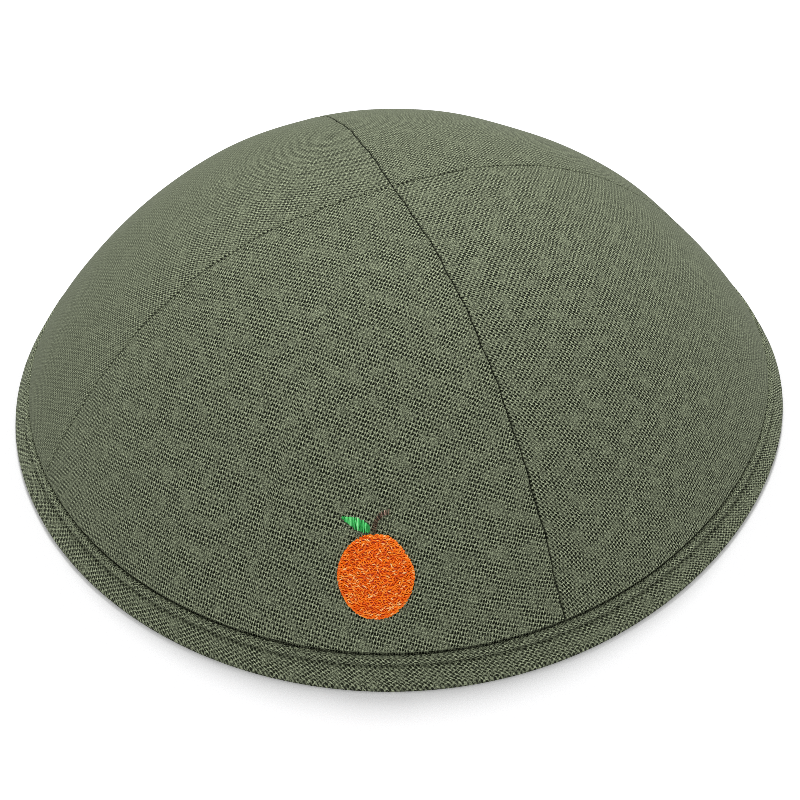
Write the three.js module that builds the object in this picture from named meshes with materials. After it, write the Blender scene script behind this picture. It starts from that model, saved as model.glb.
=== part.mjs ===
import * as THREE from 'three';

// A skullcap sewn from four linen panels, in millimetres, +Z up.
// It stands on its bound rim, with its embroidered front towards -Y.

// Overall sizes of the cap
const rimDiameter = 200;
const crownHeight = 68.8;
// Exponents of the crown's curve: more fullness flattens its top, less shoulder steepens its foot
const crownFullness = 2.41;
const crownShoulder = 0.9;

// Cloth and sewing sizes
const panelThickness = 1.2;
const pieceGap = 0.3;
// Height above the binding over which the panels curve in to pass under it
const tuckHeight = 6;

// Binding folded over the panels' lower edge
const bindingThickness = 1;
const bindingHeight = 7.6;
// How far the binding's upper edge lies inside its lower edge
const bindingLean = 3.6;
const innerLegHeight = 6.6;
const foldRadius = 0.6;
// How far a fold's middle lies from its corner, as a share of the fold's radius
const foldMiddle = 0.3;
// Rounding of the legs' upper edges, as a share of a leg's width
const edgeBevel = 0.4;

// Embroidered fruit, leaf and stem on the front panel
const motifAzimuth = -93.4;
const threadHeight = 0.7;
// Share of the threads' height that a patch keeps along its edges
const threadEdge = 0.45;
const fruitWidth = 17.5;
const fruitHeight = 19.2;
// Stretch of bare cloth between the binding and the fruit
const fruitRise = 9.1;
const leafLength = 6.9;
const leafWidth = 2.6;
// Degrees from the way across the front, measured on the cloth
const leafHeading = 162;
// Exponents of the leaf's outline: the first brings its widest place nearer the base
const leafSwell = 0.7;
const leafRoundness = 0.8;
const stemWidth = 1.1;
// Sideways place of the stem's foot from the fruit's middle, and of its tip from its foot
const stemOffset = -0.65;
const stemReach = 3.2;
const stemRise = 4.6;
// Share of its climb at which the stem bends over
const stemBend = 0.9;

// Azimuths in degrees of the two seams that bound each panel
const panels = [
  { name: 'panel_front', from: -157.7, to: -66.7 },
  { name: 'panel_right', from: -66.7, to: 24.9 },
  { name: 'panel_back', from: 24.9, to: 109.1 },
  { name: 'panel_left', from: 109.1, to: 202.3 },
];

// The soft rim isn't quite round: shares of the radius that each wave adds to it
const rimWaves = [
  { lobes: 3, cosine: 0.008, sine: 0.018 },
  { lobes: 4, cosine: 0.001, sine: 0.004 },
];

// Steps along and across the meshes
const panelRows = 17;
const panelColumns = 18;
const hemRows = 2;
const bindingColumns = 96;
const fruitRows = 14;
const fruitColumns = 12;
const leafRows = 10;
const leafColumns = 4;
const stemRows = 8;
const stemColumns = 2;

const rimRadius = rimDiameter / 2;
const footReach = rimRadius - bindingLean;
const { degToRad } = THREE.MathUtils;

// A horizontal cut through a leaning wall is wider than the wall is thick
const bindingSlant = Math.hypot(bindingHeight, bindingLean);
const slopeStretch = bindingSlant / bindingHeight;
const legWidth = bindingThickness * slopeStretch;
const channelWidth = (panelThickness + 2 * pieceGap) * slopeStretch;
const tuckDepth = legWidth + pieceGap * slopeStretch;
// The hem's inner edge dips below its outer edge, and stays clear of the channel's floor
const hemDip = panelThickness * bindingLean / bindingSlant;
const hemHeight = bindingThickness + pieceGap + hemDip;

// Point at a given reach, height and azimuth: the rim's waves fade out towards the crown's top
function capPoint(reach, height, azimuth) {
  const rise = THREE.MathUtils.clamp((height - bindingHeight) / (crownHeight - bindingHeight), 0, 1);
  let stretch = 1;
  for (const { lobes, cosine, sine } of rimWaves) {
    stretch += (cosine * Math.cos(lobes * azimuth) + sine * Math.sin(lobes * azimuth)) * (1 - rise);
  }
  return new THREE.Vector3(
    reach * stretch * Math.cos(azimuth),
    reach * stretch * Math.sin(azimuth),
    height,
  );
}

// Section of the crown's outer face: station 0 is its top, 1 the binding's upper edge, 2 the hem
function crownSection(station) {
  if (station > 1) {
    const height = THREE.MathUtils.lerp(bindingHeight, hemHeight, station - 1);
    const lean = bindingLean * (1 - height / bindingHeight);
    return { reach: footReach + lean - tuckDepth, height };
  }
  const share = Math.sin(station * Math.PI / 2);
  const rise = Math.max(1 - share ** crownFullness, 0) ** crownShoulder;
  const height = bindingHeight + (crownHeight - bindingHeight) * rise;
  const tuck = 1 - THREE.MathUtils.smoothstep(height, bindingHeight, bindingHeight + tuckHeight);
  return { reach: footReach * share - tuckDepth * tuck, height };
}

// Point on the crown, moved out along the cloth's normal by an offset
function crownPoint(station, azimuth, offset) {
  const step = 1e-4;
  const at = (stationStep, azimuthStep) => {
    const section = crownSection(station + stationStep);
    return capPoint(section.reach, section.height, azimuth + azimuthStep);
  };
  const point = at(0, 0);
  const down = at(step, 0).sub(at(0, 0));
  const around = at(0, step).sub(at(0, -step));
  const normal = down.cross(around).normalize();
  return point.addScaledVector(normal, offset);
}

// Closed body between two grids of points that share their outlines' order
function shellBetween(outer, inner) {
  const rows = outer.length;
  const columns = outer[0].length;
  const positions = [];
  const indices = [];
  const numbers = new Map();
  const numberOf = (point) => {
    const key = point.toArray().map((value) => value.toFixed(6)).join(' ');
    if (!numbers.has(key)) {
      numbers.set(key, positions.length / 3);
      positions.push(...point.toArray());
    }
    return numbers.get(key);
  };
  const addTriangle = (a, b, c) => {
    const corners = [a, b, c].map(numberOf);
    if (new Set(corners).size === 3) {
      indices.push(...corners);
    }
  };
  const addQuad = (a, b, c, d) => {
    addTriangle(a, b, c);
    addTriangle(a, c, d);
  };
  for (let row = 0; row + 1 < rows; row += 1) {
    for (let column = 0; column + 1 < columns; column += 1) {
      const [below, beside] = [row + 1, column + 1];
      addQuad(outer[row][column], outer[below][column], outer[below][beside], outer[row][beside]);
      addQuad(inner[row][column], inner[row][beside], inner[below][beside], inner[below][column]);
    }
    const last = columns - 1;
    addQuad(outer[row][0], inner[row][0], inner[row + 1][0], outer[row + 1][0]);
    addQuad(outer[row][last], outer[row + 1][last], inner[row + 1][last], inner[row][last]);
  }
  for (let column = 0; column + 1 < columns; column += 1) {
    const end = rows - 1;
    addQuad(outer[0][column], outer[0][column + 1], inner[0][column + 1], inner[0][column]);
    addQuad(outer[end][column], inner[end][column], inner[end][column + 1], outer[end][column + 1]);
  }
  return finishGeometry(positions, indices);
}

function finishGeometry(positions, indices) {
  const geometry = new THREE.BufferGeometry();
  geometry.setAttribute('position', new THREE.Float32BufferAttribute(positions, 3));
  geometry.setIndex(indices);
  geometry.computeVertexNormals();
  return geometry;
}

// One gore of cloth: its side edges stay half a gap from the seams, and meet in a point at the top
function panelGeometry(panel) {
  const middle = degToRad((panel.from + panel.to) / 2);
  const halfSpan = degToRad((panel.to - panel.from) / 2);
  const tipReach = (pieceGap / 2) / Math.sin(halfSpan);
  const tipStation = Math.asin(tipReach / footReach) / (Math.PI / 2);
  const stations = [];
  for (let row = 0; row <= panelRows; row += 1) {
    stations.push(THREE.MathUtils.lerp(tipStation, 1, row / panelRows));
  }
  for (let row = 1; row <= hemRows; row += 1) {
    stations.push(1 + row / hemRows);
  }
  const gridAt = (offset) => stations.map((station, row) => {
    const { reach } = crownSection(station);
    const edgeAngle = row === 0 ? halfSpan : Math.asin((pieceGap / 2) / reach);
    const points = [];
    for (let column = 0; column <= panelColumns; column += 1) {
      const share = 2 * column / panelColumns - 1;
      points.push(crownPoint(station, middle + share * (halfSpan - edgeAngle), offset));
    }
    return points;
  });
  return shellBetween(gridAt(0), gridAt(-panelThickness));
}

// Section of the folded binding, as distances in from the rim and heights, with rounded folds.
// It runs up the outer leg, down and up the channel that holds the hem, and down the inner leg.
function bindingSection() {
  const leanAt = (height) => bindingLean * height / bindingHeight;
  const outerFace = (height) => leanAt(height);
  const channelOuter = (height) => leanAt(height) + legWidth;
  const channelInner = (height) => channelOuter(height) + channelWidth;
  const innerFace = (height) => channelInner(height) + legWidth;
  const foldCorner = foldMiddle * foldRadius;
  const bevel = edgeBevel * legWidth;
  return [
    [foldRadius, 0],
    [outerFace(foldCorner) + foldCorner, foldCorner],
    [outerFace(foldRadius), foldRadius],
    [outerFace(bindingHeight - bevel), bindingHeight - bevel],
    [outerFace(bindingHeight) + bevel, bindingHeight],
    [channelOuter(bindingHeight), bindingHeight - bevel],
    [channelOuter(bindingThickness), bindingThickness],
    [channelInner(bindingThickness), bindingThickness],
    [channelInner(innerLegHeight), innerLegHeight],
    [innerFace(innerLegHeight) - bevel, innerLegHeight],
    [innerFace(innerLegHeight - bevel), innerLegHeight - bevel],
    [innerFace(foldRadius), foldRadius],
    [innerFace(0) - foldRadius, 0],
  ];
}

function bindingGeometry() {
  const section = bindingSection();
  const positions = [];
  const indices = [];
  for (let column = 0; column < bindingColumns; column += 1) {
    const azimuth = 2 * Math.PI * column / bindingColumns;
    for (const [inset, height] of section) {
      positions.push(...capPoint(rimRadius - inset, height, azimuth).toArray());
    }
    const here = column * section.length;
    const next = ((column + 1) % bindingColumns) * section.length;
    for (let corner = 0; corner < section.length; corner += 1) {
      const following = (corner + 1) % section.length;
      indices.push(here + corner, next + corner, next + following);
      indices.push(here + corner, next + following, here + following);
    }
  }
  return finishGeometry(positions, indices);
}

// Length of cloth between the binding's upper edge and a station, for placing the embroidery
function stationAtClimb(climb) {
  const step = 1e-3;
  let climbed = 0;
  let station = 1;
  while (climbed < climb) {
    const here = crownSection(station);
    const above = crownSection(station - step);
    climbed += Math.hypot(here.reach - above.reach, here.height - above.height);
    station -= step;
  }
  return station;
}

// Point over the front panel: across and climb are measured on the cloth from the fruit's middle
function motifPoint(across, climb, offset) {
  const station = stationAtClimb(fruitRise + fruitHeight / 2 + climb);
  const azimuth = degToRad(motifAzimuth) + across / crownSection(station).reach;
  return crownPoint(station, azimuth, offset);
}

// Raised patch of thread along a path: each row has a middle, a heading and a half width
function threadPatch(rows, columns) {
  const gridAt = (heightAt) => rows.map(({ across, climb, heading, halfWidth }) => {
    const points = [];
    for (let column = 0; column <= columns; column += 1) {
      const side = 1 - 2 * column / columns;
      const sideAcross = across - Math.sin(heading) * side * halfWidth;
      const sideClimb = climb + Math.cos(heading) * side * halfWidth;
      points.push(motifPoint(sideAcross, sideClimb, heightAt(side)));
    }
    return points;
  });
  const crown = (side) => THREE.MathUtils.lerp(threadEdge, 1, Math.sqrt(1 - side * side));
  return shellBetween(gridAt(() => pieceGap), gridAt((side) => pieceGap + threadHeight * crown(side)));
}

// An ellipse of thread, its top and bottom rows a little short of a point
function fruitGeometry() {
  const lastAngle = degToRad(85);
  const rows = [];
  for (let row = 0; row <= fruitRows; row += 1) {
    const angle = lastAngle * (2 * row / fruitRows - 1);
    rows.push({
      across: 0,
      climb: Math.sin(angle) * fruitHeight / 2,
      heading: Math.PI / 2,
      halfWidth: Math.cos(angle) * fruitWidth / 2,
    });
  }
  return threadPatch(rows, fruitColumns);
}

// A leaf with its round end beside the stem and its sharp end out to the side
function leafGeometry() {
  const heading = degToRad(leafHeading);
  const [firstShare, lastShare] = [0.04, 0.99];
  const base = {
    across: stemOffset - stemWidth / 2 - pieceGap,
    climb: fruitHeight / 2 + pieceGap + leafWidth / 4,
  };
  const rows = [];
  for (let row = 0; row <= leafRows; row += 1) {
    const share = THREE.MathUtils.lerp(firstShare, lastShare, row / leafRows);
    rows.push({
      across: base.across + Math.cos(heading) * leafLength * share,
      climb: base.climb + Math.sin(heading) * leafLength * share,
      heading,
      halfWidth: Math.sin(Math.PI * share ** leafSwell) ** leafRoundness * leafWidth / 2,
    });
  }
  return threadPatch(rows, leafColumns);
}

// A stem that climbs from the fruit and bends over towards its tip
function stemGeometry() {
  const start = new THREE.Vector2(stemOffset, fruitHeight / 2 + pieceGap);
  const end = new THREE.Vector2(stemOffset + stemReach, start.y + stemRise);
  const bend = new THREE.Vector2(start.x, THREE.MathUtils.lerp(start.y, end.y, stemBend));
  const path = new THREE.QuadraticBezierCurve(start, bend, end);
  const rows = [];
  for (let row = 0; row <= stemRows; row += 1) {
    const point = path.getPoint(row / stemRows);
    const tangent = path.getTangent(row / stemRows);
    rows.push({
      across: point.x,
      climb: point.y,
      heading: Math.atan2(tangent.y, tangent.x),
      halfWidth: stemWidth / 2,
    });
  }
  return threadPatch(rows, stemColumns);
}

function linen() {
  return new THREE.MeshStandardMaterial({ color: 0x70745f, roughness: 0.9, metalness: 0 });
}

function thread(color) {
  return new THREE.MeshStandardMaterial({ color, roughness: 0.55, metalness: 0 });
}

function namedMesh(name, geometry, material) {
  const mesh = new THREE.Mesh(geometry, material);
  mesh.name = name;
  return mesh;
}

// The cap's parts, moved together so that the origin lies below the middle of its outline
const cap = new THREE.Group();
for (const panel of panels) {
  cap.add(namedMesh(panel.name, panelGeometry(panel), linen()));
}
cap.add(namedMesh('rim_binding', bindingGeometry(), linen()));
cap.add(namedMesh('embroidered_orange', fruitGeometry(), thread(0xf06a10)));
cap.add(namedMesh('embroidered_leaf', leafGeometry(), thread(0x2f9e4f)));
cap.add(namedMesh('embroidered_stem', stemGeometry(), thread(0x5a3d2a)));
const middle = new THREE.Box3().setFromObject(cap).getCenter(new THREE.Vector3());
cap.position.set(-middle.x, -middle.y, 0);

const skullcap = new THREE.Group();
skullcap.add(cap);

export default skullcap;
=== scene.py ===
import math

import bpy
import numpy as np
from mathutils import Matrix, Vector


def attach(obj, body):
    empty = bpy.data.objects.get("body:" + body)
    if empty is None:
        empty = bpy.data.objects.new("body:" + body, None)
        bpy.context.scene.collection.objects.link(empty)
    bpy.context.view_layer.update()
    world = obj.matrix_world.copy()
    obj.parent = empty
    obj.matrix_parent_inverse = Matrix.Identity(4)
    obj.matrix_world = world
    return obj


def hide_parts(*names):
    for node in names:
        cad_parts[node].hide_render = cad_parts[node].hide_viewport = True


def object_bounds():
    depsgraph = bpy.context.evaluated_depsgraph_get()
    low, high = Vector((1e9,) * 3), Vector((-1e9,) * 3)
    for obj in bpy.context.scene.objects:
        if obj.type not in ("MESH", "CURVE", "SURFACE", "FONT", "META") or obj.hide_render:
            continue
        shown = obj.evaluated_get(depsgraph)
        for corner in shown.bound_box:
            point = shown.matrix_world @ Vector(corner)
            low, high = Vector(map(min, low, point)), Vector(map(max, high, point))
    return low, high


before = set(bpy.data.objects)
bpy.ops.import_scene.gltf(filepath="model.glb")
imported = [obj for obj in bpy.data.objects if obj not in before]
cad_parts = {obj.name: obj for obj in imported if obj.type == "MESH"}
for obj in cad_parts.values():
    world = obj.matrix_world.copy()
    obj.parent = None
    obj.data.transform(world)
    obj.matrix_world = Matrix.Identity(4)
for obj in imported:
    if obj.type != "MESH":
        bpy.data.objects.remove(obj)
cad_low, cad_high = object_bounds()

# Linen panels: four gores of loosely woven sage-green linen, cut as petals and sewn edge to edge.
# Each edge is folded back inside the cap along its seam, and the turned allowances are pressed open.
# The long seam from front to back is sewn last, so it is the deepest.
MM = 0.001
RIM_RADIUS = 100 * MM
CROWN_HEIGHT = cad_high.z
CROWN_FULLNESS = 2.41
CROWN_SHOULDER = 0.9
BINDING_HEIGHT = 7.6 * MM
BINDING_LEAN = 3.6 * MM
BINDING_THICKNESS = 1 * MM
PIECE_GAP = 0.3 * MM
TUCK_HEIGHT = 1.0 * MM
HEM_HEIGHT = 1.8 * MM
RIM_WAVES = [
    {"lobes": 3, "cosine": 0.008, "sine": 0.018},
    {"lobes": 4, "cosine": 0.001, "sine": 0.004},
]
LEAN_STRETCH = math.hypot(BINDING_HEIGHT, BINDING_LEAN) / BINDING_HEIGHT
TUCK_DEPTH = (BINDING_THICKNESS + PIECE_GAP) * LEAN_STRETCH

CLOTH_THICKNESS = 0.4 * MM
ALLOWANCE = 7 * MM
SEAM_GAP = 0.02 * MM
# Each seam's shadow sets how dark the painted shade along its fold is.
SEAMS = {
    "left": {"azimuth": -157.7, "fold_radius": 0.42 * MM, "shadow": 0.0},
    "front": {"azimuth": -66.7, "fold_radius": 0.5 * MM, "shadow": 0.8},
    "right": {"azimuth": 24.9, "fold_radius": 0.42 * MM, "shadow": 0.25},
    "back": {"azimuth": 109.1, "fold_radius": 0.5 * MM, "shadow": 0.8},
}
SEAM_SHADOW_REACH = 0.35 * MM
# Painted shadow on the cloth just above the binding's upper edge, in the ditch.
DITCH_START = 0.1 * MM
DITCH_HEIGHT = 0.5 * MM
DITCH_SHADOW = 0.15
PANELS = [
    {"name": "panel_front", "from": "left", "to": "front", "grain": -5},
    {"name": "panel_right", "from": "front", "to": "right", "grain": 4},
    {"name": "panel_back", "from": "right", "to": "back", "grain": -4},
    {"name": "panel_left", "from": "back", "to": "left", "grain": 5},
]
PANEL_ROWS = 130
HEM_ROWS = 4
FOLD_STEPS = 8
ALLOWANCE_STEPS = 5
HALF_PANEL_STEPS = 44
COLUMN_CROWDING = 1.35
TIP_STATION = 0.0014
CALM_CROWN = (2 * MM, 12 * MM)
PUCKER_DEPTH = 0.1 * MM
PUCKER_REACH = 2.5 * MM
PUCKER_LENGTH = 3.4 * MM
PUCKER_DRIFT = 7 * MM
SEAM_WANDER = 0.16 * MM
WANDER_LENGTHS = (19 * MM, 7 * MM)
RIPPLES = [(70 * MM, 0.3 * MM), (45 * MM, 0.22 * MM), (26 * MM, 0.12 * MM)]
RIPPLE_SEED = 11
EVEN_TOP = 20 * MM
EVEN_HEM = (8 * MM, 20 * MM)
# Painted sheen: in a band where the cloth turns across the view from the front above, the weave's painted
# shade is evened out to a flat tone, as the fuzz looks when seen edge-on. OPEN_WAY points to that view;
# OPEN_FACING and BACK_FACING set the band's edges.
OPEN_WAY = np.array([0.1, -0.75, 0.65])
OPEN_FACING = (0.05, 0.85)
BACK_FACING = (-0.12, 0.22)
FULL_SHOULDER = {
    "azimuth": math.radians(37), "spread": math.radians(17),
    "height": 36 * MM, "rise": 22 * MM, "depth": 1 * MM,
}

tips = [max((v.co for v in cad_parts[p["name"]].data.vertices), key=lambda co: co.z) for p in PANELS]
AXIS = sum(tips, Vector()) / len(tips)


def ease(value, low, high):
    """Smooth step from 0 at low to 1 at high."""
    share = np.clip((value - low) / (high - low), 0, 1)
    return share * share * (3 - 2 * share)


def cap_point(reach, height, azimuth):
    """Point at a reach, height and azimuth: the soft rim's waves fade out towards the crown's top."""
    rise = np.clip((height - BINDING_HEIGHT) / (CROWN_HEIGHT - BINDING_HEIGHT), 0, 1)
    stretch = 1
    for wave in RIM_WAVES:
        turn = wave["lobes"] * azimuth
        stretch = stretch + (wave["cosine"] * np.cos(turn) + wave["sine"] * np.sin(turn)) * (1 - rise)
    x = AXIS.x + reach * stretch * np.cos(azimuth)
    y = AXIS.y + reach * stretch * np.sin(azimuth)
    return np.stack(np.broadcast_arrays(x, y, height), axis=-1)


def crown_section(station, tucked=1):
    """Reach and height of the crown at a station: 0 is its top, 1 the binding's upper edge, 2 the hem.

    Tucked is 1 where the cloth is drawn in under the binding and 0 for its free shape."""
    share = np.sin(np.minimum(station, 1) * np.pi / 2)
    rise = np.maximum(1 - share**CROWN_FULLNESS, 0) ** CROWN_SHOULDER
    height = BINDING_HEIGHT + (CROWN_HEIGHT - BINDING_HEIGHT) * rise
    height = height - (BINDING_HEIGHT - HEM_HEIGHT) * np.maximum(station - 1, 0)
    tuck = 1 - ease(height, BINDING_HEIGHT, BINDING_HEIGHT + TUCK_HEIGHT)
    lean = BINDING_LEAN * np.maximum(1 - height / BINDING_HEIGHT, 0)
    return (RIM_RADIUS - BINDING_LEAN) * share + lean - TUCK_DEPTH * tuck * tucked, height


def crown_point(station, azimuth, offset=0.0):
    """Point on the crown's outer face, moved out along the cloth's normal by an offset."""
    step = 1e-4

    def at(station_step, azimuth_step):
        reach, height = crown_section(station + station_step)
        return cap_point(reach, height, azimuth + azimuth_step)

    point = at(0, 0)
    normal = np.cross(at(step, 0) - point, at(0, step) - at(0, -step))
    normal /= np.linalg.norm(normal, axis=-1, keepdims=True)
    return point + normal * np.expand_dims(np.broadcast_to(offset, point.shape[:-1]), -1)


STATIONS = np.linspace(0, 2, 4001)
section_reach, section_height = crown_section(STATIONS)
section_steps = np.hypot(np.diff(section_reach), np.diff(section_height))
SLANTS = np.concatenate([[0], np.cumsum(section_steps)])
SECTION_SLOPES = np.gradient(crown_section(STATIONS, tucked=0)[0], SLANTS)
LAST_SLOPED_STATION = 0.85


def slant_at(station):
    """Length of cloth from the crown's top down to a station."""
    return np.interp(station, STATIONS, SLANTS)


def cloth_softness(station, azimuth):
    """How far the soft cloth stands off its even shape.

    A few long ripples cross each other, and one shoulder of the cap is a little fuller than the rest."""
    point = crown_point(station, azimuth)
    chance = np.random.default_rng(RIPPLE_SEED)
    lift = np.zeros(point.shape[:-1])
    for wavelength, depth in RIPPLES:
        for _ in range(2):
            way = chance.normal(size=3)
            way /= np.linalg.norm(way)
            phase = chance.uniform(0, 2 * np.pi)
            lift += depth / 2 * np.sin(point @ way * 2 * np.pi / wavelength + phase)
    reach, height = crown_section(station)
    lift *= ease(reach, 0, EVEN_TOP)
    turned = np.mod(azimuth - FULL_SHOULDER["azimuth"] + math.pi, 2 * math.pi) - math.pi
    aside = turned / FULL_SHOULDER["spread"]
    above = (height - FULL_SHOULDER["height"]) / FULL_SHOULDER["rise"]
    fuller = FULL_SHOULDER["depth"] * np.exp(-aside**2 - above**2)
    return (lift + fuller) * ease(height, *EVEN_HEM)


def half_section(half_width, fold_radius):
    """Columns of one half of a gore, from its raw edge round the seam's fold to its middle.

    Gives the distance from the seam and the depth of both faces, and the place on the flat cloth."""
    scale = np.minimum(1, half_width / (3 * fold_radius))
    radius = fold_radius * scale
    thickness = CLOTH_THICKNESS * scale
    start = radius + SEAM_GAP * scale
    allowance = np.minimum(ALLOWANCE, 0.9 * np.maximum(half_width - start, 0))
    columns = []
    fold_length = np.pi * (radius - thickness / 2)
    for share in np.linspace(1, 0, ALLOWANCE_STEPS, endpoint=False):
        across = start + allowance * share
        flat = fold_length + allowance * share
        columns.append((across, -2 * radius, across, thickness - 2 * radius, flat))
    inner = radius - thickness
    for turn in np.linspace(np.pi, 0, FOLD_STEPS + 1):
        columns.append((
            start - radius * np.sin(turn), -radius + radius * np.cos(turn),
            start - inner * np.sin(turn), -radius + inner * np.cos(turn),
            fold_length * turn / np.pi,
        ))
    for share in np.linspace(0, 1, HALF_PANEL_STEPS + 1)[1:]:
        across = start + (half_width - start) * share**COLUMN_CROWDING
        columns.append((across, 0 * radius, across, -thickness, start - across))
    return [np.stack(values, axis=1) for values in zip(*columns)]


def flat_place(slant, reach, slope, across, grain):
    """Where a point of the gore lay on the flat cloth, turned by the grain's angle."""
    turn = slope * across / reach
    turn = np.where(np.abs(turn) < 1e-6, 1e-6, turn)
    x = across * np.sin(turn) / turn
    y = -slant + across * (1 - np.cos(turn)) / turn
    cosine, sine = math.cos(math.radians(grain)), math.sin(math.radians(grain))
    return np.stack([x * cosine + y * sine, y * cosine - x * sine], -1)


def linked(name, data):
    """New object in the scene that holds a mesh or other data."""
    piece = bpy.data.objects.new(name, data)
    bpy.context.scene.collection.objects.link(piece)
    return piece


def sheet_mesh(name, outer, inner, flat, **shares):
    """Closed sheet of cloth between two grids of points, with the cloth's flat place as its UV map.

    Shares are named values on the points, each from 0 to 1. One is the painted shade of the seams' folds,
    the ditch above the binding and the stitch grooves. The other says how far the weave's painted shade is
    evened out to a flat tone: where the binding is pressed, and as painted sheen where the cloth turns
    across the view."""
    rows, columns = outer.shape[:2]
    number = np.arange(rows * columns).reshape(rows, columns)
    under = number + rows * columns
    corner_sets = (
        (number[:-1, :-1], number[1:, :-1], number[1:, 1:], number[:-1, 1:]),
        (under[:-1, :-1], under[:-1, 1:], under[1:, 1:], under[1:, :-1]),
        (number[:-1, 0], under[:-1, 0], under[1:, 0], number[1:, 0]),
        (number[:-1, -1], number[1:, -1], under[1:, -1], under[:-1, -1]),
        (number[0, :-1], number[0, 1:], under[0, 1:], under[0, :-1]),
        (number[-1, :-1], under[-1, :-1], under[-1, 1:], number[-1, 1:]),
    )
    quads = np.concatenate([np.stack(corners, -1).reshape(-1, 4) for corners in corner_sets])
    points = np.concatenate([outer.reshape(-1, 3), inner.reshape(-1, 3)])
    mesh = bpy.data.meshes.new(name)
    mesh.from_pydata(points.tolist(), [], quads.tolist())
    corners = np.zeros(len(mesh.loops), np.int32)
    mesh.loops.foreach_get("vertex_index", corners)
    places = np.concatenate([flat.reshape(-1, 2)] * 2)
    mesh.uv_layers.new(name="cloth").uv.foreach_set("vector", places[corners].astype(np.float32).ravel())
    for key, share in shares.items():
        values = np.concatenate([share.ravel()] * 2).astype(np.float32)
        mesh.attributes.new(key, "FLOAT", "POINT").data.foreach_set("value", values)
    mesh.polygons.foreach_set("use_smooth", [True] * len(mesh.polygons))
    mesh.update()
    return mesh


def panel_object(panel):
    """One gore with its folded edges, and the width and length of its flat cut and the cut's area."""
    first, last = SEAMS[panel["from"]], SEAMS[panel["to"]]
    start = math.radians(first["azimuth"])
    end = math.radians(last["azimuth"])
    if end < start:
        end += 2 * math.pi
    above_hem = np.linspace(TIP_STATION, 1, PANEL_ROWS)
    station = np.concatenate([above_hem, np.linspace(1, 2, HEM_ROWS + 1)[1:]])[:, None]
    reach, height = crown_section(station)
    half_width = reach * (end - start) / 2
    slant = slant_at(station)
    slope = np.interp(np.minimum(station, LAST_SLOPED_STATION), STATIONS, SECTION_SLOPES)
    calm = ease(reach, *CALM_CROWN)
    gathers = np.sin(slant * 2 * np.pi / PUCKER_LENGTH + 1.5 * np.sin(slant / PUCKER_DRIFT))
    long_wave, short_wave = (slant * 2 * np.pi / length for length in WANDER_LENGTHS)
    wander = SEAM_WANDER * (np.sin(long_wave) + 0.6 * np.sin(short_wave + 1)) * calm
    ditch = 1 - ease(height, BINDING_HEIGHT + DITCH_START, BINDING_HEIGHT + DITCH_HEIGHT)
    grids = {"outer": [], "inner": [], "flat": [], "crease": [], "pressed": []}
    for side, seam, edge in ((1, first, start), (-1, last, end)):
        section = half_section(half_width[:, 0], seam["fold_radius"])
        outer_across, outer_depth, inner_across, inner_depth, turned = section
        pucker = PUCKER_DEPTH * np.exp(-np.maximum(outer_across, 0) / PUCKER_REACH) * gathers * calm
        faces = (("outer", outer_across, outer_depth), ("inner", inner_across, inner_depth))
        for face, across, depth in faces:
            inward = 1 - ease(across / half_width, 0, 1)
            azimuth = edge + (side * across + wander * inward) / reach
            spot = station + 0 * azimuth
            offset = depth + pucker + cloth_softness(spot, azimuth)
            grids[face].append(crown_point(spot, azimuth, offset))
        # Painted shade along the seam's fold and in the ditch above the binding.
        deep = (1 - ease(outer_across - SEAM_GAP, 0, SEAM_SHADOW_REACH)) * seam["shadow"]
        grids["crease"].append(np.maximum(deep, ditch * DITCH_SHADOW)[..., None])
        # Painted sheen where the cloth turns across the view; the weave stays open where it faces the view
        # or away from it.
        facing = (crown_point(spot, azimuth, 1) - crown_point(spot, azimuth)) @ OPEN_WAY
        pressed = 1 - ease(facing, *OPEN_FACING) - ease(-facing, *BACK_FACING)
        grids["pressed"].append(pressed[..., None])
        flat_across = -side * (half_width + turned)
        grids["flat"].append(flat_place(slant, reach, slope, flat_across, panel["grain"]))
    joined = {key: np.concatenate([left, right[:, -2::-1]], axis=1)
              for key, (left, right) in grids.items()}
    piece = linked(panel["name"] + "_cloth", sheet_mesh(panel["name"] + "_cloth", **joined))
    widths = 2 * (half_width + np.minimum(ALLOWANCE, 0.9 * half_width))[:, 0]
    area = float(np.sum((widths[1:] + widths[:-1]) / 2 * np.diff(slant[:, 0])))
    return piece, (float(widths.max()), float(slant[-1, 0])), area


class Wire:
    """What leaves a node by one of its sockets. Each sign used on it adds a maths node."""

    def __init__(self, node, key=0):
        self.socket = node.outputs[key]

    def __add__(self, other):
        return calc("ADD", self, other)

    def __sub__(self, other):
        return calc("SUBTRACT", self, other)

    def __rsub__(self, other):
        return calc("SUBTRACT", other, self)

    def __mul__(self, other):
        return calc("MULTIPLY", self, other)

    def __truediv__(self, other):
        return calc("DIVIDE", self, other)


def feed(socket, value):
    """Joins a socket to a wire or to a node's first output, or sets its own value."""
    if isinstance(value, bpy.types.Node):
        value = Wire(value)
    if isinstance(value, Wire):
        socket.id_data.links.new(value.socket, socket)
    else:
        socket.default_value = value


def add(tree, kind, *values, inputs=None, **settings):
    """New node with its settings, fed in order from values and by name from inputs."""
    node = tree.nodes.new(kind)
    for name, value in settings.items():
        setattr(node, name, value)
    for socket, value in zip([s for s in node.inputs if s.enabled], values):
        feed(socket, value)
    for name, value in (inputs or {}).items():
        feed(node.inputs[name], value)
    return node


def calc(operation, *values, clamp=False):
    """Maths node on wires and numbers, in the tree of its first wire."""
    tree = next(value.socket.id_data for value in values if isinstance(value, Wire))
    return Wire(add(tree, "ShaderNodeMath", *values, operation=operation, use_clamp=clamp))


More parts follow.
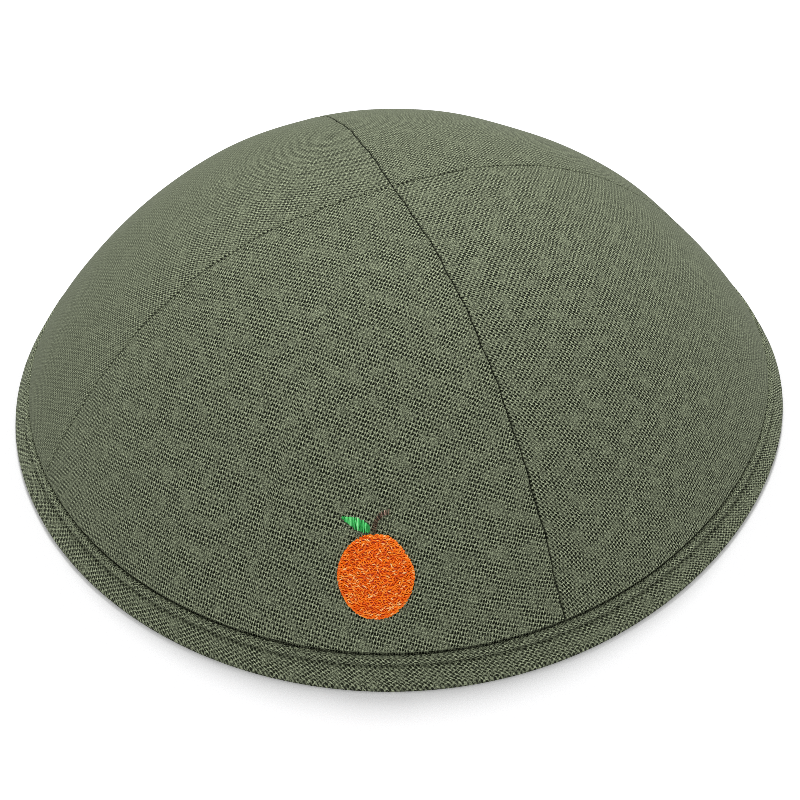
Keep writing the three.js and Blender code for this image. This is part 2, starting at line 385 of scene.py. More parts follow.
def open_group(name, kind, inputs, outputs):
    """Node group with named sockets: gives it, its inputs as wires and its outputs as sockets."""
    group = bpy.data.node_groups.new(name, kind)
    for in_out, sockets in (("INPUT", inputs), ("OUTPUT", outputs)):
        for label, value in sockets.items():
            form = value if isinstance(value, str) else "Int" if isinstance(value, int) else "Float"
            kind_name = "NodeSocket" + form
            socket = group.interface.new_socket(name=label, in_out=in_out, socket_type=kind_name)
            if form != value:
                socket.default_value = value
    source = group.nodes.new("NodeGroupInput")
    sink = group.nodes.new("NodeGroupOutput")
    return group, {label: Wire(source, label) for label in inputs}, sink.inputs


def noise(tree, place, size, detail=0.0):
    """Noise of a given grain size in metres: its value and its colour, each about 0.5."""
    inputs = {"Vector": place, "Scale": 1 / size, "Detail": detail}
    node = add(tree, "ShaderNodeTexNoise", inputs=inputs, noise_dimensions="3D")
    return Wire(node), Wire(node, "Color")


def pair_chance(tree, first, second):
    """Chance value from 0 to 1 for each pair of yarns or of gaps."""
    pair = add(tree, "ShaderNodeCombineXYZ", first, second, 0.0)
    node = add(tree, "ShaderNodeTexWhiteNoise", inputs={"Vector": pair}, noise_dimensions="2D")
    return Wire(node, "Value")


YARN_DRIFTS = [
    {"size": 14 * MM, "amount": 0.9 * MM, "seed": 3.1},
    {"size": 2.4 * MM, "amount": 0.36 * MM, "seed": 5.7},
]
SLUB_STEP = 3.37 * MM
SLUB_SIZE = 1 * MM
SLUB_STRETCH = 0.5
SLUB_LAYER = 7 * MM
LEAST_YARN = 0.25
YARN_ROUNDNESS = 0.57
FINE_RISE, COARSE_RISE = 0.45, -0.3
# Lighter painted flank of each kind of yarn, as if lit from one side.
FINE_FLANK, COARSE_FLANK = 0.35, 0.1
HOLE_HALF_WIDTHS = (0.38, 0.42)
HOLE_SHARPNESS = 1.6
TURN_DEPTH, CHANCE_DEPTH = 0.55, 0.7
MEAN_OPENNESS, PATCH_OPENNESS, LEAST_OPENNESS = 0.6, 3.0, 0.1
PATCH_SIZE = 3.6 * MM
FUZZ_SIZE = 0.24 * MM
CROSSING_CHANCE = 0.16
LEAST_CONTRAST = 0.2
YARN_SHADE, LIGHTEST_SHADE = 0.66, 1.2
SHADE_POWER = 2.2
# How far pressing and the painted sheen even out the weave's painted shade, and the flat tone they give.
PRESSED_AND_SHEEN_SHARE = 0.8
PRESSED_AND_SHEEN_TONE = 0.31


def make_weave_group():
    """Open plain weave of uneven linen yarn, drawn on the cloth's flat place in metres.

    Fine yarns run one way and coarse yarns the other, each over and under by turns. In patches the weave
    lies open, with small holes between bright yarns, and elsewhere it has closed up to a fuzzy face.
    Height is 0 in a hole and 1 on a yarn's back. Shade is painted light and shade: near 0 in the holes,
    where shade falls into the weave, and lighter on the yarns' high backs and on one lit flank of each yarn,
    up to about 1."""
    group, given, result = open_group(
        "linen weave", "ShaderNodeTree",
        {"Cloth": "Vector", "Fine Pitch": 0.64 * MM, "Coarse Pitch": 1 * MM, "Fine Fullness": 0.72,
         "Coarse Fullness": 0.5, "Unevenness": 0.3, "Contrast": 0.8, "Patchiness": 2.0, "Fuzz": 1.6,
         "Openness": 2.1, "Pressed": 0.0},
        {"Height": "Float", "Shade": "Float"},
    )
    cloth = given["Cloth"]
    flat = add(group, "ShaderNodeSeparateXYZ", cloth)
    places = [Wire(flat, 0), Wire(flat, 1)]
    for drift in YARN_DRIFTS:
        seed = (drift["seed"], drift["seed"], 0)
        moved = add(group, "ShaderNodeVectorMath", cloth, seed, operation="ADD")
        shifts = add(group, "ShaderNodeSeparateColor", noise(group, moved, drift["size"])[1])
        places = [place + (Wire(shifts, i) - 0.5) * drift["amount"] for i, place in enumerate(places)]

    yarns = []
    for i, kind in enumerate(("Fine", "Coarse")):
        place = places[i] / given[kind + " Pitch"]
        index = calc("FLOOR", place)
        middle = place - index - 0.5
        chance = add(group, "ShaderNodeTexWhiteNoise", inputs={"W": index + 100.5 * (i + 1)},
                     noise_dimensions="1D")
        slub_at = add(group, "ShaderNodeCombineXYZ", index * SLUB_STEP, places[1 - i] * SLUB_STRETCH,
                      SLUB_LAYER * i)
        spread = Wire(chance, "Value") + noise(group, slub_at, SLUB_SIZE)[0] - 1.0
        width = given[kind + " Fullness"] + spread * given["Unevenness"]
        share = middle * 2.0 / calc("MAXIMUM", width, LEAST_YARN)
        fall = calc("MINIMUM", share * share, 2.0)
        on_yarn = calc("LESS_THAN", fall, 1.9)
        shifted = place + 0.5
        gap = calc("FLOOR", shifted)
        from_gap = (shifted - gap - 0.5) / HOLE_HALF_WIDTHS[i]
        yarns.append({"index": index, "middle": middle, "round": 1.0 - fall,
                      "flank": share / width * on_yarn, "gap": gap, "from_gap": from_gap * from_gap})
    fine, coarse = yarns
    parity = calc("FLOORED_MODULO", fine["index"] + coarse["index"], 2.0)
    above = 1.0 - parity * 2.0
    heights = []
    for yarn, other, rise in ((fine, coarse, FINE_RISE), (coarse, fine, COARSE_RISE)):
        arch = calc("COSINE", other["middle"] * math.pi)
        heights.append(yarn["round"] * YARN_ROUNDNESS + arch * above * rise)
    top = calc("MAXIMUM", *heights)
    fine_on_top = calc("GREATER_THAN", *heights)
    feed(result["Height"], calc("MULTIPLY", top + 0.6, 0.6, clamp=True))

    # Painted light and shade: the yarns' high backs lighter than their low parts, and one flank of each yarn
    # lit.
    lit_side = add(group, "ShaderNodeMix", fine_on_top, coarse["flank"] * COARSE_FLANK,
                   fine["flank"] * FINE_FLANK, data_type="FLOAT")
    relief = (top - 0.5) * 0.5 - Wire(lit_side)
    patch = noise(group, cloth, PATCH_SIZE, 1.0)[0] - 0.5
    contrast = calc("MAXIMUM", given["Contrast"] + patch * given["Patchiness"], LEAST_CONTRAST)
    uneven = (pair_chance(group, fine["index"], coarse["index"]) - 0.5) * CROSSING_CHANCE
    fuzz = (noise(group, cloth, FUZZ_SIZE, 1.0)[0] - 0.5) * given["Fuzz"]
    shade = calc("MAXIMUM", relief * contrast + YARN_SHADE + uneven + fuzz, 0.0)
    shade = calc("MINIMUM", shade, LIGHTEST_SHADE)

    # Painted shade in the holes between the yarns, deepest at every other gap and in open patches.
    gap_turn = calc("FLOORED_MODULO", fine["gap"] + coarse["gap"], 2.0)
    depth = gap_turn * TURN_DEPTH + pair_chance(group, fine["gap"], coarse["gap"]) * CHANCE_DEPTH
    openness = calc("MAXIMUM", patch * PATCH_OPENNESS + MEAN_OPENNESS, LEAST_OPENNESS)
    hole = calc("MAXIMUM", 1.0 - (fine["from_gap"] + coarse["from_gap"]), 0.0)
    hole = calc("MULTIPLY", hole, HOLE_SHARPNESS, clamp=True)
    hole = calc("MULTIPLY", hole, depth * openness * given["Openness"], clamp=True)
    shade = calc("POWER", shade, SHADE_POWER) * (1.0 - hole)
    # Pressing and painted sheen even the painted shade out towards a flat tone.
    even = given["Pressed"] * PRESSED_AND_SHEEN_SHARE
    feed(result["Shade"], shade * (1.0 - even) + even * PRESSED_AND_SHEEN_TONE)
    return group


weave_group = make_weave_group()
# The near-black hole colour is painted shade seen through the weave's holes; the yarn colour is the linen's
# own.
LINEN_HOLE = (0.003, 0.005, 0.001, 1)
LINEN_YARN = (0.322, 0.364, 0.236, 1)
# How far the painted shade of the seams, the ditch and the stitch grooves darkens the linen.
PAINTED_SHADE_DEPTH = 0.85


def open_material(name):
    """New material and its empty node tree."""
    material = bpy.data.materials.new(name)
    material.use_nodes = True
    material.node_tree.nodes.clear()
    return material, material.node_tree


def point_value(tree, name):
    """Wire with a named value of the piece's points."""
    return Wire(add(tree, "ShaderNodeAttribute", attribute_name=name, attribute_type="GEOMETRY"), "Fac")


def close_material(tree, relief, finish):
    """Ends a material's tree with a bump, the surface's shader and the output."""
    bump = add(tree, "ShaderNodeBump", inputs=relief)
    shader = add(tree, "ShaderNodeBsdfPrincipled", inputs={"Normal": bump, **finish})
    add(tree, "ShaderNodeOutputMaterial", inputs={"Surface": shader})


def linen_material(name, contrast):
    """Matt linen with the weave's painted light and shade: dark in its holes, lightest on the yarns' backs,
    with uneven yarns.
    """
    material, tree = open_material(name)
    cloth = add(tree, "ShaderNodeUVMap", uv_map="cloth")
    pressed = point_value(tree, "pressed")
    weave = add(tree, "ShaderNodeGroup", node_tree=weave_group,
                inputs={"Cloth": cloth, "Contrast": contrast, "Pressed": pressed})
    # The painted shade darkens the weave's colour.
    unshaded_share = 1.0 - point_value(tree, "crease") * PAINTED_SHADE_DEPTH
    colour = add(tree, "ShaderNodeMix", data_type="RGBA", clamp_factor=False,
                 inputs={"Factor": Wire(weave, "Shade") * unshaded_share, "A": LINEN_HOLE, "B": LINEN_YARN})
    close_material(
        tree, {"Strength": 0.15, "Distance": 0.2 * MM, "Height": Wire(weave, "Height")},
        {"Base Color": Wire(colour, "Result"), "Roughness": 0.9, "Specular IOR Level": 0.15},
    )
    return material


linen = linen_material("sage linen", 0.68)
for panel in PANELS:
    piece, flat_size, flat_area = panel_object(panel)
    piece.data.materials.append(linen)
    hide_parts(panel["name"])
    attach(piece, "root")

# Rim binding: a bias-cut strip of the same linen, folded in two and then over the gores' raw lower edge.
# It is sewn on by machine and topstitched, so a soft roll stands up between its upper edge and the row of
# stitches. The strip's two ends meet behind the cap.
FOOT_WIDTH = 4.2 * MM
INNER_LEG_HEIGHT = 6.6 * MM
STITCH_DROP = 2.4 * MM
ROLL_DEPTH = 0.6 * MM
GROOVE_DEPTH = 0.6 * MM
GROOVE_WIDTH = 0.35 * MM
FLOOR_CLEARANCE = 0.04 * MM
# Painted shade in the groove of each row of topstitching.
STITCH_SHADOW = 0.4
BIAS_STRETCH = 1.16
BIAS_NARROWING = 1.2
FOOT_ROUNDNESS = 0.8 * MM
FOOT_FULLNESS = 0.75 * MM
FOOT_SHARE = 0.9
BELLY_LENGTH = 9 * MM
OUTLINE_STEP = 0.3 * MM
BINDING_PRESSED = 0.12
SOFTNESS_SIZE = 7 * MM
FOOT_STIFFNESS = 3 * MM
JOIN_AZIMUTH = math.radians(97)
JOIN_GAP = 0.1 * MM
BINDING_STEPS = 900
STITCH_PITCH = 2.7 * MM


def rounded_line(corners, roundness, step):
    """Line through corners, each rounded by an arc that starts a given length before it."""
    corners = [np.array(corner) for corner in corners]
    points = [corners[0]]
    for before, corner, after in zip(corners, corners[1:], corners[2:]):
        start = corner + (before - corner) / np.linalg.norm(before - corner) * roundness
        end = corner + (after - corner) / np.linalg.norm(after - corner) * roundness
        for share in np.linspace(0, 1, 9):
            points.append((1 - share) ** 2 * start + 2 * share * (1 - share) * corner + share**2 * end)
    points = np.array(points + [corners[-1]])
    lengths = np.concatenate([[0], np.cumsum(np.linalg.norm(np.diff(points, axis=0), axis=1))])
    places = np.linspace(0, lengths[-1], round(lengths[-1] / step) + 1)
    return np.stack([np.interp(places, lengths, points[:, i]) for i in (0, 1)], axis=1), places


def binding_section():
    """Closed outline of the folded strip, out from and down from the rim's lowest outer edge.

    Also gives how far each point is across the strip, and how near to a row of stitches, from 0 to 1."""
    half = BINDING_THICKNESS / 2
    slope = BINDING_LEAN / BINDING_HEIGHT
    inset = half * LEAN_STRETCH
    top, foot, inner_top = BINDING_HEIGHT - half, half * FOOT_SHARE, INNER_LEG_HEIGHT - half
    line, places = rounded_line([
        (-inset - slope * top, top),
        (-inset, foot),
        (-FOOT_WIDTH + inset, foot),
        (-FOOT_WIDTH + inset - slope * inner_top, inner_top),
    ], FOOT_ROUNDNESS, OUTLINE_STEP)
    along = np.gradient(line, axis=0)
    along /= np.linalg.norm(along, axis=1, keepdims=True)
    away = np.stack([-along[:, 1], along[:, 0]], axis=1)
    drop = places + half
    rise = places[-1] + half - places + (BINDING_HEIGHT - INNER_LEG_HEIGHT) * LEAN_STRETCH
    near_stitch = sum(np.exp(-((edge - STITCH_DROP) / GROOVE_WIDTH) ** 2) for edge in (drop, rise))
    roll = ROLL_DEPTH * np.sin(np.pi * np.clip(drop / STITCH_DROP, 0, 1))
    belly = FOOT_FULLNESS * np.sin(np.pi * np.clip((drop - STITCH_DROP) / BELLY_LENGTH, 0, 1))
    outside = line + away * (half + roll + belly - GROOVE_DEPTH * near_stitch)[:, None]
    outside[:, 1] = np.maximum(outside[:, 1], FLOOR_CLEARANCE)
    inside = (line - away * half)[::-2]
    outline, across, stitched = [outside], [places], [near_stitch]
    for centre, first, edge in ((line[-1], away[-1], places[-1]), (line[0], -away[0], 0)):
        for turn in np.linspace(0, math.pi, 7)[1:-1]:
            swing = np.array([first[0] * math.cos(turn) + first[1] * math.sin(turn),
                              first[1] * math.cos(turn) - first[0] * math.sin(turn)])
            outline.append((centre + swing * half)[None])
            across.append(np.array([edge + math.copysign(half * turn, edge - 1e-6)]))
            stitched.append(np.zeros(1))
        if edge:
            outline.append(inside)
            across.append(2 * places[-1] - places[::-2] + math.pi * half)
            stitched.append(np.zeros(len(inside)))
    return np.concatenate(outline) * (1, -1), np.concatenate(across), np.concatenate(stitched)


def thread_of_points(name, points, edges, **values):
    """Object of edges between points, with named values on the points."""
    mesh = bpy.data.meshes.new(name)
    mesh.from_pydata(np.asarray(points).tolist(), edges, [])
    for key, value in values.items():
        form, field = ("FLOAT_VECTOR", "vector") if np.ndim(value) == 2 else ("FLOAT", "value")
        numbers = np.ascontiguousarray(value, np.float32).ravel()
        mesh.attributes.new(key, form, "POINT").data.foreach_set(field, numbers)
    return linked(name, mesh)


def chain(count):
    """Edges that join points one after another."""
    return [(i, i + 1) for i in range(count - 1)]


def stored(tree, name, form="FLOAT"):
    """Wire that reads a named value."""
    return Wire(add(tree, "GeometryNodeInputNamedAttribute", name, data_type=form), "Attribute")


def finish_tree(tree, geometry, material, result):
    """Ends a tree of geometry nodes: smooth faces, real geometry and the material."""
    smoothed = add(tree, "GeometryNodeSetShadeSmooth", inputs={"Geometry": geometry, "Shade Smooth": True})
    real = add(tree, "GeometryNodeRealizeInstances", smoothed)
    painted = add(tree, "GeometryNodeSetMaterial", inputs={"Geometry": real, "Material": material})
    feed(result["Geometry"], painted)


def grow(piece, tree, values):
    """Replaces a piece's guide mesh by the plain mesh that a tree of geometry nodes makes of it."""
    modifier = piece.modifiers.new("growth", "NODES")
    modifier.node_group = tree
    for item in tree.interface.items_tree:
        if item.item_type == "SOCKET" and item.in_out == "INPUT" and item.name in values:
            modifier[item.identifier] = values[item.name]
    graph = bpy.context.evaluated_depsgraph_get()
    mesh = bpy.data.meshes.new_from_object(piece.evaluated_get(graph))
    piece.modifiers.remove(modifier)
    piece.data = mesh
    mesh.name = piece.name


def make_binding_tree():
    """Sweeps the folded strip's outline along the rim, puckers it and maps its flat place on the bias."""
    tree, given, result = open_group(
        "binding sweep", "GeometryNodeTree",
        {"Geometry": "Geometry", "Outline": "Object", "Cloth": "Material",
         "Stitch Pitch": STITCH_PITCH, "Pucker": 0.12 * MM, "Softness": 0.35 * MM},
        {"Geometry": "Geometry"},
    )
    path = add(tree, "GeometryNodeMeshToCurve", given["Geometry"])
    upright = add(tree, "GeometryNodeSetCurveNormal", path, mode="Z_UP")
    outline_mesh = add(tree, "GeometryNodeObjectInfo", given["Outline"])
    outline = add(tree, "GeometryNodeMeshToCurve", Wire(outline_mesh, "Geometry"))
    swept = add(tree, "GeometryNodeCurveToMesh",
                inputs={"Curve": upright, "Profile Curve": outline, "Fill Caps": True})
    along = stored(tree, "along")
    across = stored(tree, "across")
    place = add(tree, "GeometryNodeInputPosition")
    phase = along / given["Stitch Pitch"] * (2 * math.pi)
    pucker = calc("COSINE", phase) * (stored(tree, "stitched") * given["Pucker"])
    soft = (noise(tree, place, SOFTNESS_SIZE, 1.0)[0] - 0.5) * given["Softness"]
    height = Wire(add(tree, "ShaderNodeSeparateXYZ", place), 2)
    free = soft * calc("MULTIPLY", height, 1 / FOOT_STIFFNESS, clamp=True)
    push = add(tree, "ShaderNodeVectorMath", add(tree, "GeometryNodeInputNormal"), operation="SCALE",
               inputs={"Scale": pucker + free})
    placed = add(tree, "GeometryNodeSetPosition", inputs={"Geometry": swept, "Offset": push})
    bias = math.sqrt(0.5)
    along = along / BIAS_STRETCH
    across = across * BIAS_NARROWING
    flat = add(tree, "ShaderNodeCombineXYZ", (along - across) * bias, (across + along) * bias, 0.0)
    mapped = add(tree, "GeometryNodeStoreNamedAttribute", data_type="FLOAT2", domain="CORNER",
                 inputs={"Geometry": placed, "Name": "cloth", "Value": flat})
    finish_tree(tree, mapped, given["Cloth"], result)
    return tree


outline_points, outline_across, outline_stitched = binding_section()
outline_count = len(outline_points)
# The grooves of the topstitching get painted shade.
outline_guide = thread_of_points(
    "binding_outline", np.pad(outline_points, ((0, 0), (0, 1))),
    [*chain(outline_count), (outline_count - 1, 0)],
    across=outline_across, stitched=outline_stitched,
    crease=STITCH_SHADOW * outline_stitched, pressed=np.full(outline_count, BINDING_PRESSED),
)
turned = np.linspace(0, 2 * math.pi - JOIN_GAP / RIM_RADIUS, BINDING_STEPS)
rim_line = cap_point(RIM_RADIUS, 0.0, JOIN_AZIMUTH + turned)
rim_along = np.concatenate([[0], np.cumsum(np.linalg.norm(np.diff(rim_line, axis=0), axis=1))])
binding = thread_of_points("rim_binding_cloth", rim_line, chain(BINDING_STEPS), along=rim_along)
binding_linen = linen_material("sage binding linen", 0.8)
grow(binding, make_binding_tree(), {"Outline": outline_guide, "Cloth": binding_linen})
bpy.data.objects.remove(outline_guide)
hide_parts("rim_binding")
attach(binding, "root")

# Topstitching: a row of lockstitches in sage thread, 2.4 mm below the binding's upper edge.
# The machine sews through both legs of the binding at once, so the same row shows inside the cap.
STITCH_LENGTH = 2.1 * MM
STITCH_THREAD = 0.26 * MM
STITCH_HEIGHT = BINDING_HEIGHT - STITCH_DROP / LEAN_STRETCH
STITCH_SIZES = (0.88, 1.06)
STITCH_TONES = (0.25, 0.85)
SEWING_TONES = [
    (0.06, 0.07, 0.04, 1), (0.20, 0.22, 0.15, 1), (0.32, 0.34, 0.25, 1), (0.48, 0.50, 0.42, 1),
]
TONE_PLACES = (0.5, 0.8)
BROAD_GRAIN = 9.0


def make_thread_group():
    """Twist and fuzz of a spun thread, drawn in space: Height for the bump and Tone for the colour."""
    group, given, result = open_group(
        "spun thread", "ShaderNodeTree", {"Place": "Vector", "Grain": 0.12 * MM},
        {"Height": "Float", "Tone": "Float"},
    )
    scaled = add(group, "ShaderNodeVectorMath", given["Place"], operation="SCALE",
                 inputs={"Scale": calc("DIVIDE", 1.0, given["Grain"])})
    fine = noise(group, scaled, 1.0, 1.0)[0]
    broad = noise(group, scaled, BROAD_GRAIN)[0]
    feed(result["Height"], fine)
    feed(result["Tone"], fine * 0.85 + broad * 0.15)
    return group


thread_group = make_thread_group()


def thread_material(name, tones, gloss):
    """Thread whose strands differ in tone, with a soft gloss: tones go from its shadows to its glints."""
    material, tree = open_material(name)
    place = Wire(add(tree, "ShaderNodeTexCoord"), "Object")
    spun = add(tree, "ShaderNodeGroup", node_tree=thread_group, inputs={"Place": place})
    spread = (Wire(spun, "Tone") - 0.5) * 0.8
    colour = add(tree, "ShaderNodeValToRGB", calc("ADD", point_value(tree, "tone"), spread, clamp=True))
    ramp = colour.color_ramp.elements
    for place, tone in zip(TONE_PLACES, tones[1:3]):
        ramp.new(place).color = tone
    ramp[0].color = tones[0]
    ramp[-1].color = tones[3]
    close_material(
        tree, {"Strength": 0.4, "Distance": 0.06 * MM, "Height": Wire(spun, "Height")},
        {"Base Color": colour, "Roughness": 0.42, "Specular IOR Level": gloss},
    )
    return material


def thread_ring(tree, sides, width):
    """Round outline of a thread."""
    return add(tree, "GeometryNodeCurvePrimitiveCircle", inputs={"Resolution": sides, "Radius": width * 0.5})


def make_stitch_tree():
    """Lays stitches end to end along a line: each is a short arc of thread that dips in at both ends."""
    tree, given, result = open_group(
        "running stitches", "GeometryNodeTree",
        {"Geometry": "Geometry", "Thread": "Material", "Stitch Pitch": STITCH_PITCH,
         "Stitch Length": STITCH_LENGTH, "Thread Width": STITCH_THREAD, "Seed": 4},
        {"Geometry": "Geometry"},
    )
    row = add(tree, "GeometryNodeMeshToCurve", given["Geometry"])
    spaced = add(tree, "GeometryNodeResampleCurve", mode="LENGTH",
                 inputs={"Curve": row, "Length": given["Stitch Pitch"]})
    half = given["Stitch Length"] * 0.5
    dip = given["Thread Width"] * -0.7
    crest = given["Thread Width"] * 1.1
    ends = {"Start": (half * -1.0, dip), "Middle": (0.0, crest), "End": (half, dip)}
    corners = {key: add(tree, "ShaderNodeCombineXYZ", ahead, 0.0, up) for key, (ahead, up) in ends.items()}
    arc = add(tree, "GeometryNodeCurveQuadraticBezier", inputs={"Resolution": 8, **corners})
    ring = thread_ring(tree, 8, given["Thread Width"])
    stitch = add(tree, "GeometryNodeCurveToMesh",
                 inputs={"Curve": arc, "Profile Curve": ring, "Fill Caps": True})
    ahead = add(tree, "FunctionNodeAlignRotationToVector", axis="X",
                inputs={"Vector": add(tree, "GeometryNodeInputTangent")})
    facing = add(tree, "FunctionNodeAlignRotationToVector", axis="Z", pivot_axis="X",
                 inputs={"Rotation": ahead, "Vector": stored(tree, "outward", "FLOAT_VECTOR")})
    seeds = (given["Seed"], given["Seed"] + 1.0)
    draws = []
    for seed, (least, most) in zip(seeds, (STITCH_SIZES, STITCH_TONES)):
        draw = add(tree, "FunctionNodeRandomValue", data_type="FLOAT",
                   inputs={"Min": least, "Max": most, "Seed": seed})
        draws.append(Wire(draw, "Value"))
    laid = add(tree, "GeometryNodeInstanceOnPoints",
               inputs={"Points": spaced, "Instance": stitch, "Rotation": facing, "Scale": draws[0]})
    toned = add(tree, "GeometryNodeStoreNamedAttribute", data_type="FLOAT", domain="INSTANCE",
                inputs={"Geometry": laid, "Name": "tone", "Value": draws[1]})
    finish_tree(tree, toned, given["Thread"], result)
    return tree


sewing_thread = thread_material("sage sewing thread", SEWING_TONES, 0.2)
stitch_tree = make_stitch_tree()
outer_row_reach = RIM_RADIUS - BINDING_LEAN * STITCH_HEIGHT / BINDING_HEIGHT - GROOVE_DEPTH
inner_row_reach = outer_row_reach - FOOT_WIDTH + 2 * GROOVE_DEPTH
azimuths = JOIN_AZIMUTH + turned
leans = np.full(BINDING_STEPS, BINDING_LEAN / BINDING_HEIGHT)
outward = np.stack([np.cos(azimuths), np.sin(azimuths), leans], 1)
for name, reach, side in (("outside", outer_row_reach, 1), ("inside", inner_row_reach, -1)):
    row_points = cap_point(reach, STITCH_HEIGHT, azimuths)
    row = thread_of_points("topstitching_" + name, row_points, chain(BINDING_STEPS), outward=side * outward)
    grow(row, stitch_tree, {"Thread": sewing_thread})
    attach(row, "root")

# Embroidered orange, leaf and stem: glossy machine-embroidery thread on the front panel.
# The fruit is filled with short uneven stitches that run across it, over a thin underlay. The leaf and the
# stem are satin stitch, laid across their length.
MOTIF_AZIMUTH = math.radians(-93.4)
FRUIT_WIDTH = 17.3 * MM
FRUIT_HEIGHT = 19.2 * MM
FRUIT_RISE = 9.25 * MM
LEAF_LENGTH = 6.9 * MM
LEAF_WIDTH = 2.75 * MM
LEAF_HEADING = math.radians(162)
LEAF_SWELL = 0.7
LEAF_ROUNDNESS = 0.8
STEM_WIDTH = 1.0 * MM
STEM_SPACING = 0.42 * MM
STEM_OFFSET = -0.65 * MM
STEM_REACH = 3.2 * MM
STEM_RISE = 4.6 * MM
STEM_BEND = 0.9
EMBROIDERY_THREAD = 0.3 * MM
UNDERLAY_HEIGHT = 0.22 * MM
STITCH_LIFT = 0.5 * MM
FILL_ROW = 0.34 * MM
FILL_LENGTH = 0.85 * MM
EDGE_SPACING = 0.42 * MM
EDGE_LENGTH = 0.65 * MM
SATIN_SPACING = 0.29 * MM
ORANGE_TONES = [
    (0.55, 0.045, 0.000, 1), (1.00, 0.170, 0.001, 1), (1.00, 0.290, 0.008, 1), (1.00, 0.740, 0.360, 1),
]
GREEN_TONES = [
    (0.006, 0.130, 0.025, 1), (0.035, 0.450, 0.090, 1), (0.110, 0.680, 0.190, 1), (0.420, 0.950, 0.450, 1),
]
BROWN_TONES = [
    (0.012, 0.007, 0.004, 1), (0.060, 0.034, 0.020, 1), (0.170, 0.105, 0.070, 1), (0.550, 0.380, 0.300, 1),
]
STITCH_ENDS = 0.2
STITCH_HEIGHTS = (0.75, 1.15)
FRUIT_NARROWING = 0.04
FRUIT_SHOULDER = 0.09
FILL_SHIFT = 0.6
FILL_LENGTHS = (0.7, 1.3)
FILL_OVERLAP = 0.88
SHORTEST_FILL = 0.25 * MM
FILL_JITTER = 0.06
FILL_SLANT = 0.7
FILL_SWAY = 0.16 * MM
FILL_SPREAD = (0.14, 0.8, 1.6, 1.4)
EDGE_INSET = 0.15 * MM
EDGE_LIFT = 0.8
EDGE_SWAY = 0.08 * MM
EDGE_SPREAD = (0.2, 0.65, 1.6, 1.3)
SATIN_TURN = 0.08
SATIN_LIFT = 0.9
SATIN_SWAY = 0.05 * MM
SATIN_SPREAD = (0.1, 0.8, 1.5, 1.4)
LEAF_SLANT = math.radians(-65)
STEM_SLANT = math.radians(70)
UNDERLAY_FOOT = 0.03 * MM
UNDERLAY_CLEARANCE = 0.02 * MM
FRUIT_PAD = 0.96
LEAF_PAD = 0.9


def motif_point(across, climb, lift):
    """Point over the front panel: across and climb are measured on the cloth from the fruit's middle."""
    station = np.interp(slant_at(1) - FRUIT_RISE - FRUIT_HEIGHT / 2 - climb, SLANTS, STATIONS)
    azimuth = MOTIF_AZIMUTH + across / crown_section(station)[0]
    return crown_point(station, azimuth, lift + cloth_softness(station, azimuth))


def laid_stitch(start, end, chance, lift, sway):
    """Stitch from start to end on the motif's flat place: it dips at its ends and sways a little."""
    share = np.linspace(0, 1, 7)
    way = np.array(end) - np.array(start)
    side = np.array([-way[1], way[0]]) / np.linalg.norm(way)
    bow = sway * chance.uniform(-1, 1) * np.sin(np.pi * share)
    bow = bow + sway * chance.uniform(-1, 1) * np.sin(2 * np.pi * share)
    flat = np.array(start) + share[:, None] * way + bow[:, None] * side
    height = EMBROIDERY_THREAD * STITCH_ENDS
    height = height + lift * chance.uniform(*STITCH_HEIGHTS) * np.sin(np.pi * share) ** 0.5
    return motif_point(flat[:, 0], flat[:, 1], height)


def fruit_sides(climb):
    """Left and right ends of the fruit's row at a climb: it narrows a little more on its upper right."""
    share = np.clip(2 * climb / FRUIT_HEIGHT, -1, 1)
    half_width = FRUIT_WIDTH / 2 * np.sqrt(1 - share**2) * (1 - FRUIT_NARROWING * np.abs(share))
    return -half_width, half_width * (1 - FRUIT_SHOULDER * ease(share, 0.1, 0.7))


def drawn_tone(chance, spread):
    """Tone of one stitch. Spread gives the darkest tone, the range and the draw's two weights."""
    darkest, span, low, high = spread
    return darkest + span * chance.beta(low, high)


def fruit_stitches(chance):
    """Rows of short curly stitches across the fruit, and a ring of short ones round its edge."""
    stitches, tones = [], []
    rows = int(FRUIT_HEIGHT / FILL_ROW)
    for row in range(1, rows):
        middle = -FRUIT_HEIGHT / 2 + row * FRUIT_HEIGHT / rows
        left, right = fruit_sides(middle)
        place = left - chance.uniform(0, FILL_SHIFT) * FILL_LENGTH
        while place < right:
            length = FILL_LENGTH * chance.uniform(*FILL_LENGTHS)
            start, end = max(place, left), min(place + length, right)
            place += length * FILL_OVERLAP
            if end - start < SHORTEST_FILL:
                continue
            climb = middle + chance.normal(0, FILL_JITTER) * MM
            inside = 1 - math.hypot((start + end) / FRUIT_WIDTH, 2 * climb / FRUIT_HEIGHT)
            slant = chance.normal(0, FILL_SLANT) * (end - start) * min(max(inside * 4, 0.1), 1)
            low, high = (start, climb - slant / 2), (end, climb + slant / 2)
            stitches.append(laid_stitch(low, high, chance, STITCH_LIFT, FILL_SWAY))
            tones.append(drawn_tone(chance, FILL_SPREAD))
    for turn in np.arange(0, 2 * math.pi, EDGE_SPACING / (FRUIT_WIDTH / 2)):
        climb = math.sin(turn) * FRUIT_HEIGHT / 2
        edge = np.array([fruit_sides(climb)[1 if math.cos(turn) > 0 else 0], climb])
        way = np.array([-math.sin(turn), math.cos(turn)]) * EDGE_LENGTH / 2
        edge -= edge / np.linalg.norm(edge) * (EDGE_INSET + chance.uniform(-0.2, 0.2) * MM)
        inward = -edge / np.linalg.norm(edge) * EDGE_LENGTH * chance.uniform(0.2, 0.8)
        low, high = edge - way + inward, edge + way
        stitches.append(laid_stitch(low, high, chance, STITCH_LIFT * EDGE_LIFT, EDGE_SWAY))
        tones.append(drawn_tone(chance, EDGE_SPREAD))
    return stitches, tones


